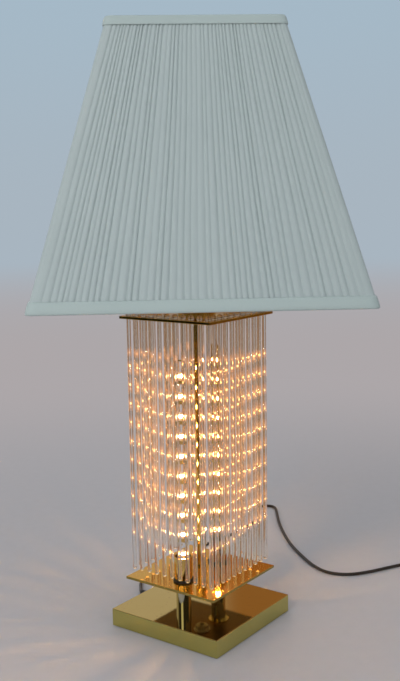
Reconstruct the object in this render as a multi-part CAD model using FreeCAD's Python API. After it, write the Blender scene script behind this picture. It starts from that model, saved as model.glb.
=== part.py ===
"""Table lamp: a brass base on which two posts carry a cage of hanging glass rods, lit from
inside by two strings of miniature lamps, with a socket, a harp and a pleated square shade.

Millimetres, +Z up. The origin is on the table under the centre of the square base. The
base's sides lie along X and Y, and the cord leaves through the middle of the +Y side.
"""
import FreeCAD, Part
import math
import os

V = FreeCAD.Vector
UP = V(0, 0, 1)

# Base
base_side = 152.4
base_height = 21.4
base_corner_radius = 0.8
shell_wall = 1.6
pad_thickness = 1.6
pad_inset = 3.0
pad_depth_in_shell = 0.8
weight_gap = 0.5

# Plates, posts and centre tube
plate_side = 127.0
plate_thickness = 3.2
plate_edge_radius = 0.4
post_offset = 35.0
post_radius = 8.75
post_wall = 1.5
post_height = 35.8
post_ring_radius = 12.5
post_ring_thickness = 1.6
cage_height = 308.0
centre_tube_radius = 6.35
centre_tube_wall = 1.0

# Clearances, how far a cutter runs past what it cuts, and how closely joined wires are matched
hole_clearance = 0.2
thread_clearance = 0.05
running_clearance = 0.08
loose_clearance = 0.3
overshoot = 1.0
join_tolerance = 0.0001

# Threaded pipe, nuts and washer
pipe_radius = 4.8
pipe_bore_radius = 3.0
nut_across_flats = 14.0
nut_thickness = 4.5
washer_radius = 10.0
washer_thickness = 1.2
pipe_end_length = 1.0

# Glass rods
rods_per_side = 10
rod_pitch = 11.2
rod_radius = 2.4
rod_length = 304.8
rod_hole_clearance = 0.4
bead_radius = 3.4
bead_seat_gap = 0.2
rod_tip_radius = 2.6

# Cups and lamp strings
insulator_radius = 12.0
insulator_thickness = 2.5
cup_radius = 10.5
cup_wall = 1.2
cup_height = 27.0
filler_gap = 0.2
filler_below_rim = 8.0
lamps_per_string = 10
lamp_pitch = 23.4
lamp_radius = 2.6
lamp_height = 10.0
first_lamp_above_rim = -2.0
right_string_lift = 8.4
rail_radius = 0.9
rail_offset = 4.6
rail_end_length = 12.0
rail_socket_depth = 5.0
holder_length = 12.4
holder_width = 4.6
holder_height = 4.0

# Cap, neck and socket above the upper plate
vase_cap_radius = 22.0
vase_cap_rim = 3.0
vase_cap_height = 8.0
vase_cap_crown = 1.0
vase_cap_bulge = 1.6
neck_height = 24.0
neck_radius = 8.0
neck_waist = 1.8
socket_radius = 17.5
socket_wall = 0.8
socket_cap_height = 20.0
socket_cap_rim = 8.0
socket_cap_floor = 1.6
socket_height = 44.0
insert_base_height = 16.0
insert_rim_depth = 1.6
contact_radius = 3.0
contact_height = 1.6
switch_shaft_radius = 2.0
switch_shaft_depth = 6.5
switch_shaft_length = 4.0
switch_knob_radius = 6.5
switch_knob_width = 7.2
switch_knob_thickness = 9.0

# Bulb
bulb_base_radius = 13.0
bulb_base_height = 24.0
bulb_tip_radius = 4.0
bulb_tip_height = 2.0
bulb_shoulder_height = 2.0
bulb_neck_inset = 0.5
bulb_radius = 30.0
bulb_height = 84.0
bulb_flank_angle = 35.0
bulb_flank_bulge = 1.5
bulb_wall = 0.8

# Harp, its saddle and its sleeves
saddle_width = 11.0
saddle_thickness = 1.6
harp_wire_radius = 1.8
harp_foot_offset = 27.0
harp_pin_height = 10.0
harp_half_width = 56.0
harp_top_half_width = 20.0
harp_height = 267.0
harp_leg_height = 34.0
harp_belly_bottom = 86.0
harp_belly_top = 178.0
harp_seat_radius = 7.0
stud_radius = 3.175
stud_height = 14.0
sleeve_length = 16.0
sleeve_wall = 1.25

# Shade
shade_turn = 38.8
shade_bottom_side = 347.0
shade_top_side = 182.0
shade_height = 295.0
shade_above_seat = 16.4
pleats_per_side = 48
pleat_depth = 2.2
backing_thickness = 0.9
trim_thickness = 1.6
trim_gap = 0.15
top_trim_height = 10.0
bottom_trim_height = 13.0
frame_wire_radius = 1.4
frame_gap = 0.4
ring_inset = 4.0
spider_hub_radius = 11.0
spider_hub_thickness = 1.4
weld_gap = 0.1

# Finial
finial_foot_radius = 6.5
finial_foot_height = 2.0
finial_foot_slope = 1.0
finial_neck_wall = 1.6
finial_ball_radius = 7.0
finial_height = 24.0

# Cord, coil and plug
cord_radius = 2.1
cord_exit_height = 10.0
bushing_flange_radius = 6.0
bushing_flange_thickness = 1.6
bushing_nozzle_radius = 3.4
bushing_nozzle_length = 6.0
cord_table_gap = 0.05
coil_radius = 30.0
coil_turns = 7
coil_climb = 0.5
coil_gap = 0.5
coil_end_clearance = 2.0
plug_length = 30.0
plug_width = 24.0
plug_edge_radius = 2.5
blade_thickness = 1.5
blade_width = 6.3
blade_length = 17.0
blade_spacing = 12.7

# Levels, from the table up
shell_bottom = pad_thickness - pad_depth_in_shell
shell_ceiling = base_height - shell_wall
lower_plate_bottom = base_height + post_height
lower_plate_top = lower_plate_bottom + plate_thickness
upper_plate_bottom = lower_plate_top + cage_height
upper_plate_top = upper_plate_bottom + plate_thickness
cup_bottom = lower_plate_top + insulator_thickness
cup_top = cup_bottom + cup_height
filler_top = cup_top - filler_below_rim
neck_bottom = upper_plate_top + vase_cap_height
saddle_bottom = neck_bottom + neck_height
saddle_top = saddle_bottom + saddle_thickness
socket_bottom = saddle_top + socket_cap_height
socket_top = socket_bottom + socket_height
bulb_tip = socket_bottom + insert_base_height + contact_height + loose_clearance
bulb_glass_bottom = bulb_tip + bulb_base_height
harp_joint = saddle_top + harp_pin_height
harp_seat = saddle_bottom + harp_height
hub_bottom = harp_seat + running_clearance
hub_top = hub_bottom + spider_hub_thickness
shade_top = harp_seat + shade_above_seat
shade_bottom = shade_top - shade_height
finial_bottom = hub_top + running_clearance

# Radii of the holes and bores, from what passes through them
pipe_hole_radius = pipe_radius + hole_clearance
nut_bore_radius = pipe_radius + thread_clearance
rod_hole_radius = rod_radius + rod_hole_clearance
bulb_bore_radius = bulb_base_radius + loose_clearance
rod_line = rod_pitch * rods_per_side / 2
rail_bore_radius = rail_radius + thread_clearance
stud_bore_radius = stud_radius + running_clearance
bead_lift = math.sqrt((bead_radius + bead_seat_gap) ** 2 - rod_hole_radius ** 2)
post_places = [(-post_offset, 0), (post_offset, 0)]
string_lifts = [0.0, right_string_lift]

nodes = {}


def keep(name, *solids):
    """Stores the solids of one node."""
    nodes[name] = solids[0] if len(solids) == 1 else Part.makeCompound(list(solids))


def cylinder(radius, bottom, top, x=0.0, y=0.0):
    return Part.makeCylinder(radius, top - bottom, V(x, y, bottom))


def bore(radius, bottom, top, x=0.0, y=0.0):
    """Cutter for a hole right through from bottom to top."""
    return cylinder(radius, bottom - overshoot, top + overshoot, x, y)


def tube(outer, inner, bottom, top, x=0.0, y=0.0):
    return cylinder(outer, bottom, top, x, y).cut(bore(inner, bottom, top, x, y))


def slab(size_x, size_y, bottom, top, x=0.0, y=0.0):
    corner = V(x - size_x / 2, y - size_y / 2, bottom)
    return Part.makeBox(size_x, size_y, top - bottom, corner)


def nut(bottom, x=0.0, y=0.0):
    """Hexagon nut on a threaded pipe."""
    corner_radius = nut_across_flats / math.sqrt(3)
    corners = [V(x + corner_radius * math.cos(math.radians(60 * k)),
                 y + corner_radius * math.sin(math.radians(60 * k)), bottom) for k in range(7)]
    body = Part.Face(Part.makePolygon(corners)).extrude(UP * nut_thickness)
    return body.cut(bore(nut_bore_radius, bottom, bottom + nut_thickness, x, y))


def turned(edges):
    """Solid turned about Z from a closed outline in the XZ plane."""
    return Part.Face(Part.Wire(edges)).revolve(V(0, 0, 0), UP, 360)


def line(start, end):
    """Edge in the XZ plane between two (radius, height) points."""
    return Part.LineSegment(V(start[0], 0, start[1]), V(end[0], 0, end[1])).toShape()


def arc(start, middle, end):
    """Arc in the XZ plane through three (radius, height) points."""
    return Part.Arc(V(start[0], 0, start[1]), V(middle[0], 0, middle[1]), V(end[0], 0, end[1])).toShape()


def bowed(start, end, bulge):
    """Arc between two (radius, height) points whose middle lies to the right of its chord."""
    run = end[0] - start[0]
    rise = end[1] - start[1]
    share = bulge / math.hypot(run, rise)
    return arc(start, ((start[0] + end[0]) / 2 + rise * share, (start[1] + end[1]) / 2 - run * share), end)


def outline(points):
    """Closed outline of straight edges through (radius, height) points."""
    return [line(a, b) for a, b in zip(points, points[1:] + points[:1])]


def tangent_route(points, share=0.45):
    """Straight runs joined by tangent arcs, each as large as its two runs allow."""
    edges = []
    radii = []
    start = points[0]
    for before, corner, after in zip(points, points[1:], points[2:]):
        run_in = corner - before
        run_out = after - corner
        half_turn = run_in.getAngle(run_out) / 2
        reach = share * min(run_in.Length, run_out.Length)
        radius = reach / math.tan(half_turn)
        way_in = V(run_in).normalize()
        way_out = V(run_out).normalize()
        arc_start = corner - way_in * reach
        arc_end = corner + way_out * reach
        inward = (way_out - way_in).normalize()
        arc_middle = corner + inward * (radius / math.cos(half_turn) - radius)
        edges.append(Part.LineSegment(start, arc_start).toShape())
        edges.append(Part.Arc(arc_start, arc_middle, arc_end).toShape())
        radii.append(radius)
        start = arc_end
    edges.append(Part.LineSegment(start, points[-1]).toShape())
    return edges, radii


def swept(edges, radius):
    """Round tube along a chain of tangent edges."""
    spine = Part.Wire(edges)
    first = edges[0]
    start = first.Vertexes[0].Point
    ring = Part.Wire(Part.makeCircle(radius, start, first.tangentAt(first.FirstParameter)))
    return spine.makePipeShell([ring], True, False)


def tapered(points, bottom, top, scale):
    """Solid with flat sides between an outline and its scaled copy higher up."""
    low = [V(x, y, bottom) for x, y in points]
    high = [V(x * scale, y * scale, top) for x, y in points]
    count = len(points)
    faces = [Part.Face(Part.makePolygon(low + low[:1])), Part.Face(Part.makePolygon(high + high[:1]))]
    for k in range(count):
        n = (k + 1) % count
        faces.append(Part.Face(Part.makePolygon([low[k], low[n], high[n], high[k], low[k]])))
    return Part.makeSolid(Part.makeShell(faces))


def rounded(solid, radius, wanted):
    """Rounds the edges for which wanted(edge) is true."""
    return solid.makeFillet(radius, [edge for edge in solid.Edges if wanted(edge)])


def along_z(edge):
    return abs(edge.tangentAt(edge.FirstParameter).z) > 0.9


def placed(solid):
    """Turns a piece of the shade about the lamp's axis to where the shade stands."""
    solid.rotate(V(0, 0, 0), UP, shade_turn)
    return solid


def make_base():
    """Felt pad, brass shell, iron weight, and the pipes and nuts that clamp the posts."""
    pad_side = base_side - 2 * (shell_wall + pad_inset)
    keep("base_pad", slab(pad_side, pad_side, 0, pad_thickness))

    shell = slab(base_side, base_side, shell_bottom, base_height)
    shell = rounded(shell, base_corner_radius,
                    lambda edge: along_z(edge) or edge.CenterOfMass.z > base_height - 0.01)
    cavity_side = base_side - 2 * shell_wall
    shell = shell.cut(slab(cavity_side, cavity_side, shell_bottom - overshoot, shell_ceiling))

    weight_side = cavity_side - 2 * weight_gap
    weight = slab(weight_side, weight_side, pad_thickness, shell_ceiling)
    nut_bottom = pad_thickness + 2 * pipe_end_length
    nut_top = nut_bottom + nut_thickness
    pocket_radius = nut_across_flats / math.sqrt(3) + hole_clearance
    for x, y in post_places:
        shell = shell.cut(bore(pipe_hole_radius, shell_ceiling, base_height, x, y))
        weight = weight.cut(bore(pipe_hole_radius, pad_thickness, shell_ceiling, x, y))
        weight = weight.cut(cylinder(pocket_radius, pad_thickness - overshoot, nut_top, x, y))
    bushing_hole = Part.makeCylinder(bushing_nozzle_radius + hole_clearance, 4 * shell_wall,
                                     V(0, base_side / 2 - 3 * shell_wall, cord_exit_height), V(0, 1, 0))
    shell = shell.cut(bushing_hole)
    keep("base_shell", shell)
    keep("base_weight", weight)
    cup_nut_bottom = cup_bottom + cup_wall
    keep("post_nuts", *[nut(bottom, x, y) for x, y in post_places for bottom in (nut_bottom, cup_nut_bottom)])
    pipe_bottom = nut_bottom - pipe_end_length
    pipe_top = cup_nut_bottom + nut_thickness + pipe_end_length
    keep("post_pipes", *[tube(pipe_radius, pipe_bore_radius, pipe_bottom, pipe_top, x, y)
                         for x, y in post_places])


def make_posts():
    """Two brass posts, each with a ring under the lower plate."""
    ring_bottom = lower_plate_bottom - post_ring_thickness
    for side, (x, y) in zip(("left", "right"), post_places):
        keep("post_" + side, tube(post_radius, post_radius - post_wall, base_height, ring_bottom, x, y))
    keep("post_rings", *[tube(post_ring_radius, pipe_hole_radius, ring_bottom, lower_plate_bottom, x, y)
                         for x, y in post_places])


def rod_places():
    """Places of the rods, side by side round the square, each side starting at a corner."""
    steps = [-rod_line + k * rod_pitch for k in range(rods_per_side)]
    return {
        "front": [(-s, -rod_line) for s in steps],
        "left": [(-rod_line, s) for s in steps],
        "back": [(s, rod_line) for s in steps],
        "right": [(rod_line, -s) for s in steps],
    }


def plate(bottom):
    body = slab(plate_side, plate_side, bottom, bottom + plate_thickness)
    body = rounded(body, plate_edge_radius, lambda edge: not along_z(edge))
    return body.cut(bore(pipe_hole_radius, bottom, bottom + plate_thickness))


def make_plates():
    """Lower plate on the posts, and upper plate with a hole for each rod."""
    lower = plate(lower_plate_bottom)
    for x, y in post_places:
        lower = lower.cut(bore(pipe_hole_radius, lower_plate_bottom, lower_plate_top, x, y))
    keep("lower_plate", lower)

    holes = [bore(rod_hole_radius, upper_plate_bottom, upper_plate_top, x, y)
             for places in rod_places().values() for x, y in places]
    keep("upper_plate", plate(upper_plate_bottom).cut(Part.makeCompound(holes)))


def make_rods():
    """Glass rods, each hung by a bead that sits in the rim of its hole."""
    bead_z = upper_plate_top + bead_lift
    tip_z = bead_z - rod_length + rod_tip_radius
    for side, places in rod_places().items():
        rods = []
        for x, y in places:
            bead = Part.makeSphere(bead_radius, V(x, y, bead_z))
            tip = Part.makeSphere(rod_tip_radius, V(x, y, tip_z))
            rods.append(cylinder(rod_radius, tip_z, bead_z, x, y).fuse([bead, tip]).removeSplitter())
        keep("rods_" + side, *rods)
    print("rod hinge height", round(bead_z, 3))


def make_centre():
    """Brass centre tube between the plates and the threaded pipe that clamps the stack."""
    keep("centre_tube", tube(centre_tube_radius, centre_tube_radius - centre_tube_wall,
                             lower_plate_top, upper_plate_bottom))
    washer_bottom = lower_plate_bottom - washer_thickness
    nut_bottom = washer_bottom - nut_thickness
    keep("pipe_washer", tube(washer_radius, pipe_hole_radius, washer_bottom, lower_plate_bottom))
    keep("pipe_nut", nut(nut_bottom))
    pipe_top = saddle_top + socket_cap_height / 2
    keep("centre_pipe", tube(pipe_radius, pipe_bore_radius, nut_bottom - pipe_end_length, pipe_top))


def make_lamp_string(side, x, lift):
    """Cup on the lower plate, and in it two rails that carry ten holders with their lamps."""
    keep("insulator_" + side, tube(insulator_radius, pipe_hole_radius, lower_plate_top, cup_bottom, x))
    cup = cylinder(cup_radius, cup_bottom, cup_top, x)
    cup = cup.cut(cylinder(cup_radius - cup_wall, cup_bottom + cup_wall, cup_top + overshoot, x))
    keep("cup_" + side, cup.cut(bore(pipe_hole_radius, cup_bottom, cup_top, x)))

    filler_bottom = cup_bottom + cup_wall + nut_thickness + 2 * pipe_end_length
    filler = cylinder(cup_radius - cup_wall - filler_gap, filler_bottom, filler_top, x)
    rail_bottom = filler_top - rail_socket_depth
    first_lamp = cup_top + first_lamp_above_rim + lift
    last_lamp = first_lamp + (lamps_per_string - 1) * lamp_pitch
    rail_top = last_lamp + lamp_height + rail_end_length
    rails = []
    for y in (-rail_offset, rail_offset):
        filler = filler.cut(cylinder(rail_bore_radius, rail_bottom, filler_top + overshoot, x, y))
        rails.append(cylinder(rail_radius, rail_bottom, rail_top, x, y))
    bridge = slab(2 * rail_radius, 2 * (rail_offset + rail_radius), rail_top, rail_top + 2 * rail_radius, x)
    keep("filler_" + side, filler)
    keep("rails_" + side, rails[0].fuse([rails[1], bridge]).removeSplitter())

    holders = []
    lamps = []
    for k in range(lamps_per_string):
        seat = first_lamp + k * lamp_pitch
        holder = slab(holder_width, holder_length, seat - holder_height, seat, x)
        for y in (-rail_offset, rail_offset):
            holder = holder.cut(bore(rail_bore_radius, seat - holder_height, seat, x, y))
        holders.append(holder)
        dome_z = seat + lamp_height - lamp_radius
        dome = Part.makeSphere(lamp_radius, V(x, 0, dome_z))
        lamps.append(cylinder(lamp_radius, seat, dome_z, x).fuse(dome).removeSplitter())
    keep("holders_" + side, *holders)
    keep("lamps_" + side, *lamps)


def make_cap_and_neck():
    """Domed cap on the upper plate and the turned neck above it."""
    rim = upper_plate_top + vase_cap_rim
    crown = (neck_radius + vase_cap_crown, neck_bottom)
    keep("vase_cap", turned([
        line((pipe_hole_radius, upper_plate_top), (vase_cap_radius, upper_plate_top)),
        line((vase_cap_radius, upper_plate_top), (vase_cap_radius, rim)),
        bowed((vase_cap_radius, rim), crown, vase_cap_bulge),
        line(crown, (pipe_hole_radius, neck_bottom)),
        line((pipe_hole_radius, neck_bottom), (pipe_hole_radius, upper_plate_top)),
    ]))
    keep("neck", turned([
        line((pipe_hole_radius, neck_bottom), (neck_radius, neck_bottom)),
        bowed((neck_radius, neck_bottom), (neck_radius, saddle_bottom), -neck_waist),
        line((neck_radius, saddle_bottom), (pipe_hole_radius, saddle_bottom)),
        line((pipe_hole_radius, saddle_bottom), (pipe_hole_radius, neck_bottom)),
    ]))


def make_socket():
    """Cap, shell, insulating insert and centre contact."""
    inner = socket_radius - socket_wall
    rim_bottom = socket_bottom - socket_cap_rim
    floor_top = saddle_top + socket_cap_floor
    keep("socket_cap", turned(outline([
        (pipe_hole_radius, saddle_top), (neck_radius, saddle_top), (socket_radius, rim_bottom),
        (socket_radius, socket_bottom), (inner, socket_bottom), (inner, rim_bottom),
        (neck_radius - socket_wall, floor_top), (pipe_hole_radius, floor_top),
    ])))
    hole = forward_pin(switch_shaft_radius + loose_clearance, 0, socket_radius + overshoot)
    keep("socket_shell", tube(socket_radius, inner, socket_bottom, socket_top).cut(hole))

    insert_radius = inner - loose_clearance
    floor = socket_bottom + insert_base_height
    insert = cylinder(insert_radius, socket_bottom, socket_top - insert_rim_depth)
    insert = insert.cut(cylinder(bulb_bore_radius, floor, socket_top))
    hole = forward_pin(switch_shaft_radius + running_clearance,
                       insert_radius - switch_shaft_depth - loose_clearance, socket_radius)
    keep("socket_insert", insert.cut(hole))
    keep("socket_contact", cylinder(contact_radius, floor, floor + contact_height))


def forward_pin(radius, start, end):
    """Cylinder along the switch's axis, towards -Y, between two distances from the socket's axis."""
    switch_z = socket_bottom + insert_base_height / 2
    return Part.makeCylinder(radius, end - start, V(0, -start, switch_z), V(0, -1, 0))


def make_switch():
    """Rotary switch: shaft in the insert, and a flat-sided knob in front of the shell."""
    shaft_end = socket_radius - socket_wall - loose_clearance - switch_shaft_depth
    knob_start = socket_radius + switch_shaft_length
    knob = forward_pin(switch_knob_radius, knob_start, knob_start + switch_knob_thickness)
    sides = slab(switch_knob_width, 2 * (knob_start + switch_knob_thickness), socket_bottom, socket_top)
    shaft = forward_pin(switch_shaft_radius, shaft_end, knob_start)
    keep("switch_knob", shaft.fuse(knob.common(sides)).removeSplitter())


def make_bulb():
    """Screw base, and a thin glass envelope that swells from its neck to a round end."""
    tip_top = bulb_tip + bulb_tip_height
    keep("bulb_base", turned(outline([
        (0, bulb_tip), (bulb_tip_radius, bulb_tip), (bulb_tip_radius, tip_top),
        (bulb_base_radius, tip_top + bulb_shoulder_height), (bulb_base_radius, bulb_glass_bottom),
        (0, bulb_glass_bottom),
    ])))

    def envelope(inset, bottom):
        neck = (bulb_base_radius - bulb_neck_inset - inset, bottom)
        radius = bulb_radius - inset
        centre_z = bulb_glass_bottom + bulb_height - bulb_radius
        low = math.radians(bulb_flank_angle)
        flank_end = (radius * math.cos(low), centre_z - radius * math.sin(low))
        top = (0, centre_z + radius)
        return turned([line((0, bottom), neck), bowed(neck, flank_end, -bulb_flank_bulge),
                       arc(flank_end, (radius, centre_z), top), line(top, (0, bottom))])

    outside = envelope(0, bulb_glass_bottom)
    keep("bulb_glass", outside.cut(envelope(bulb_wall, bulb_glass_bottom - overshoot)))


def make_harp():
    """Saddle under the socket, bowed harp with its seat and stud, and two locking sleeves."""
    saddle = slab(2 * (harp_foot_offset + 2 * harp_wire_radius), saddle_width, saddle_bottom, saddle_top)
    saddle = saddle.cut(bore(pipe_hole_radius, saddle_bottom, saddle_top))
    pins = [cylinder(harp_wire_radius, saddle_top - saddle_thickness / 2, harp_joint, side * harp_foot_offset)
            for side in (-1, 1)]
    keep("saddle", saddle.fuse(pins).removeSplitter())

    top = harp_seat - harp_wire_radius
    half = [(harp_foot_offset, 0), (harp_foot_offset, harp_leg_height),
            (harp_half_width, harp_belly_bottom), (harp_half_width, harp_belly_top),
            (harp_top_half_width, top - harp_joint)]
    route = [V(x, 0, harp_joint + z) for x, z in half]
    route += [V(-x, 0, harp_joint + z) for x, z in reversed(half)]
    edges, radii = tangent_route(route)
    print("harp least bend radius", round(min(radii), 1))
    bow = swept(edges, harp_wire_radius)
    seat = cylinder(harp_seat_radius, top, harp_seat)
    stud = cylinder(stud_radius, harp_seat - harp_wire_radius / 2, harp_seat + stud_height)
    keep("harp", bow.fuse([seat, stud]).removeSplitter())

    sleeve_inner = harp_wire_radius + running_clearance
    sleeve_bottom = harp_joint - sleeve_length / 2
    for side, x in (("left", -harp_foot_offset), ("right", harp_foot_offset)):
        keep("sleeve_" + side, tube(sleeve_inner + sleeve_wall, sleeve_inner, sleeve_bottom,
                                    sleeve_bottom + sleeve_length, x))


def make_shade():
    """Four pleated sides, two trims and the wire frame that the hub carries on the stud."""
    scale = shade_top_side / shade_bottom_side
    half_out = shade_bottom_side / 2
    half_in = half_out - pleat_depth - backing_thickness
    step = shade_bottom_side / pleats_per_side

    zigzag = []
    for k in range(pleats_per_side):
        x = -half_out + k * step
        zigzag.append((x, -half_out))
        zigzag.append((x + step / 2, -half_out + pleat_depth))
    outline_xy = zigzag + [(half_out, -half_out), (half_in, -half_in), (-half_in, -half_in)]
    for k, side in enumerate(("front", "right", "back", "left")):
        panel = tapered(outline_xy, shade_bottom, shade_top, scale)
        panel.rotate(V(0, 0, 0), UP, 90 * k)
        keep("shade_" + side, placed(panel))

    def shade_half(z):
        share = (z - shade_bottom) / shade_height
        return half_out * (1 - share * (1 - scale))

    def square(half):
        return [(-half, -half), (half, -half), (half, half), (-half, half)]

    def trim(bottom, top):
        low = shade_half(bottom)
        high = shade_half(top)
        shapes = []
        for grow in (trim_gap + trim_thickness, trim_gap):
            shapes.append(tapered(square(low + grow), bottom, top, (high + grow) / (low + grow)))
        return placed(shapes[0].cut(shapes[1]))

    keep("trim_bottom", trim(shade_bottom, shade_bottom + bottom_trim_height))
    keep("trim_top", trim(shade_top - top_trim_height, shade_top))

    def ring_corner(z):
        inner = shade_half(z) * half_in / half_out
        return inner - frame_wire_radius - frame_gap

    def wire_between(start, end):
        way = end - start
        return Part.makeCylinder(frame_wire_radius, way.Length, start, way)

    def ring(z):
        half = ring_corner(z)
        corners = [V(x, y, z) for x, y in square(half)]
        wires = [wire_between(a, b) for a, b in zip(corners, corners[1:] + corners[:1])]
        knees = [Part.makeSphere(frame_wire_radius, corner) for corner in corners]
        return placed(wires[0].fuse(wires[1:] + knees, join_tolerance).removeSplitter())

    ring_top = shade_top - ring_inset
    ring_bottom = shade_bottom + ring_inset
    keep("frame_ring_top", ring(ring_top))
    keep("frame_ring_bottom", ring(ring_bottom))

    def weld_reach(way, ring_way):
        """How far from a ring's corner a wire ends that leaves it at this angle to the ring."""
        angle = way.getAngle(ring_way)
        clear = (frame_wire_radius * (1 + math.cos(angle)) + weld_gap) / math.sin(angle)
        return max(clear, frame_wire_radius + weld_gap)

    ribs = []
    arms = []
    for x, y in square(1):
        high = V(x * ring_corner(ring_top), y * ring_corner(ring_top), ring_top)
        low = V(x * ring_corner(ring_bottom), y * ring_corner(ring_bottom), ring_bottom)
        ring_way = V(-x, 0, 0)
        rib_way = (high - low).normalize()
        rib_start = low + rib_way * weld_reach(rib_way, ring_way)
        rib_end = high - rib_way * weld_reach(-rib_way, ring_way)
        ribs.append(placed(wire_between(rib_start, rib_end)))
        hub_edge = V(x, y, 0).normalize() * (spider_hub_radius - frame_wire_radius)
        arm_start = hub_edge + V(0, 0, hub_bottom + frame_wire_radius)
        arm_way = (high - arm_start).normalize()
        arm_end = high - arm_way * weld_reach(-arm_way, ring_way)
        arms.append(placed(wire_between(arm_start, arm_end)))
    keep("frame_ribs", *ribs)
    hub = tube(spider_hub_radius, stud_bore_radius, hub_bottom, hub_top)
    keep("spider", hub.fuse(arms).removeSplitter())


def make_finial():
    """Turned brass finial, screwed on the harp's stud."""
    foot = finial_bottom + finial_foot_height
    ball_z = finial_bottom + finial_height - finial_ball_radius
    neck = stud_bore_radius + finial_neck_wall
    join = ball_z - math.sqrt(finial_ball_radius ** 2 - neck ** 2)
    top = (0, ball_z + finial_ball_radius)
    body = turned([
        line((0, finial_bottom), (finial_foot_radius, finial_bottom)),
        line((finial_foot_radius, finial_bottom), (finial_foot_radius, foot)),
        line((finial_foot_radius, foot), (neck, foot + finial_foot_slope)),
        line((neck, foot + finial_foot_slope), (neck, join)),
        arc((neck, join), (finial_ball_radius, ball_z), top),
        line(top, (0, finial_bottom)),
    ])
    bore_top = harp_seat + stud_height + running_clearance
    keep("finial", body.cut(cylinder(stud_bore_radius, finial_bottom - overshoot, bore_top)))


def make_bushing():
    """Bushing through the base's back wall, out of which the cord comes."""
    wall_y = base_side / 2
    backward = V(0, 1, 0)
    body = Part.makeCylinder(bushing_nozzle_radius, shell_wall, V(0, wall_y - shell_wall, cord_exit_height),
                             backward)
    flange = Part.makeCylinder(bushing_flange_radius, bushing_flange_thickness,
                               V(0, wall_y, cord_exit_height), backward)
    nozzle = Part.makeCylinder(bushing_nozzle_radius, bushing_nozzle_length,
                               V(0, wall_y + bushing_flange_thickness, cord_exit_height), backward)
    keep("cord_bushing", body.fuse([flange, nozzle]).removeSplitter())


def biarc(start, start_way, end, end_way):
    """Two arcs that join two points with the given directions, tangent all along."""
    chord = end - start
    ways = start_way + end_way
    spread = 2 * (1 - start_way.dot(end_way))
    along = chord.dot(ways)
    reach = (-along + math.sqrt(along ** 2 + spread * chord.dot(chord))) / spread
    joint = (start + end + (start_way - end_way) * reach) / 2

    def bent(a, b, way):
        span = b - a
        unit = V(span).normalize()
        side = way - unit * way.dot(unit)
        if side.Length < 1e-9:
            return Part.LineSegment(a, b).toShape()
        bulge = span.Length / 2 * math.tan(way.getAngle(span) / 2)
        return Part.Arc(a, (a + b) / 2 + side.normalize() * bulge, b).toShape()

    last = bent(end, joint, -end_way)
    middle = last.valueAt((last.FirstParameter + last.LastParameter) / 2)
    return [bent(start, joint, start_way), Part.Arc(joint, middle, end).toShape()]


def coil_point(turns, start_angle):
    """Centre of the coil's tube after so many turns: it winds in, climbs a layer and winds out."""
    pitch = 2 * cord_radius + coil_gap
    radius = coil_radius - pitch * min(turns, coil_turns - turns)
    share = (turns - (coil_turns - coil_climb) / 2) / coil_climb
    rise = pitch * (1 - math.cos(math.pi * min(max(share, 0), 1))) / 2
    angle = start_angle - 2 * math.pi * turns
    return V(radius * math.cos(angle), radius * math.sin(angle), cord_radius + cord_table_gap + rise)


def make_cord():
    """Cord from the bushing over the table to its coil, and the plug on the coil's end."""
    exit_y = base_side / 2 + bushing_flange_thickness + bushing_nozzle_length
    on_table = [(37, 127), (57, 139), (85, 147), (125, 150), (173, 145), (222, 136), (268, 131),
                (307, 132), (338, 138), (364, 151), (390, 169.5), (405, 162.5), (406.5, 146.5),
                (382, 128.5), (344.5, 102), (306, 70), (269, 35), (241, 1), (217, -31), (205, -59),
                (214, -86), (241, -106), (274, -122), (304, -140), (329, -159)]
    route = [V(0, exit_y, cord_exit_height), V(0, exit_y + 7, cord_exit_height)]
    route += [V(8, 102, 7), V(21, 113, 3.2)]
    route += [V(x, y, cord_radius + cord_table_gap) for x, y in on_table]
    edges, radii = tangent_route(route)
    cord = swept(edges, cord_radius)
    print("cord bend radii", [round(radius, 1) for radius in radii])
    report_tube("cord", cord, edges)
    keep("cord", cord)

    start = route[-1]
    way = (start - route[-2]).normalize()
    side = V(way.y, -way.x, 0)
    ring_start = start + way * (2 * cord_radius)
    centre = V(ring_start.x, ring_start.y, 0) + side * coil_radius
    start_angle = math.atan2(-side.y, -side.x)
    small = 1e-5

    def heading(turns):
        ahead = coil_point(min(turns + small, coil_turns), start_angle)
        behind = coil_point(max(turns - small, 0), start_angle)
        return (ahead - behind).normalize()

    stops = [k / 4 for k in range(4 * coil_turns + 1)]
    points = [centre + coil_point(turns, start_angle) for turns in stops]
    ways = [way] + [heading(turns) for turns in stops[1:-1]] + [way]
    lead = coil_radius + cord_radius + coil_end_clearance
    end = points[-1] + way * lead
    turns_of_coil = [Part.LineSegment(start, ring_start).toShape()]
    for a, way_a, b, way_b in zip(points, ways, points[1:], ways[1:]):
        turns_of_coil += biarc(a, way_a, b, way_b)
    turns_of_coil.append(Part.LineSegment(points[-1], end).toShape())
    coil = swept(turns_of_coil, cord_radius)
    report_tube("coil", coil, turns_of_coil)
    print("coil least gap", round(least_gap(turns_of_coil), 3))
    keep("cord_coil", coil)
    make_plug(end, way)


def report_tube(name, solid, edges):
    """Prints a tube's length and its volume against its section times that length."""
    length = sum(edge.Length for edge in edges)
    share = solid.Volume / (math.pi * cord_radius ** 2 * length)
    print(name, "length", round(length), "volume share", round(share, 4))


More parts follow.
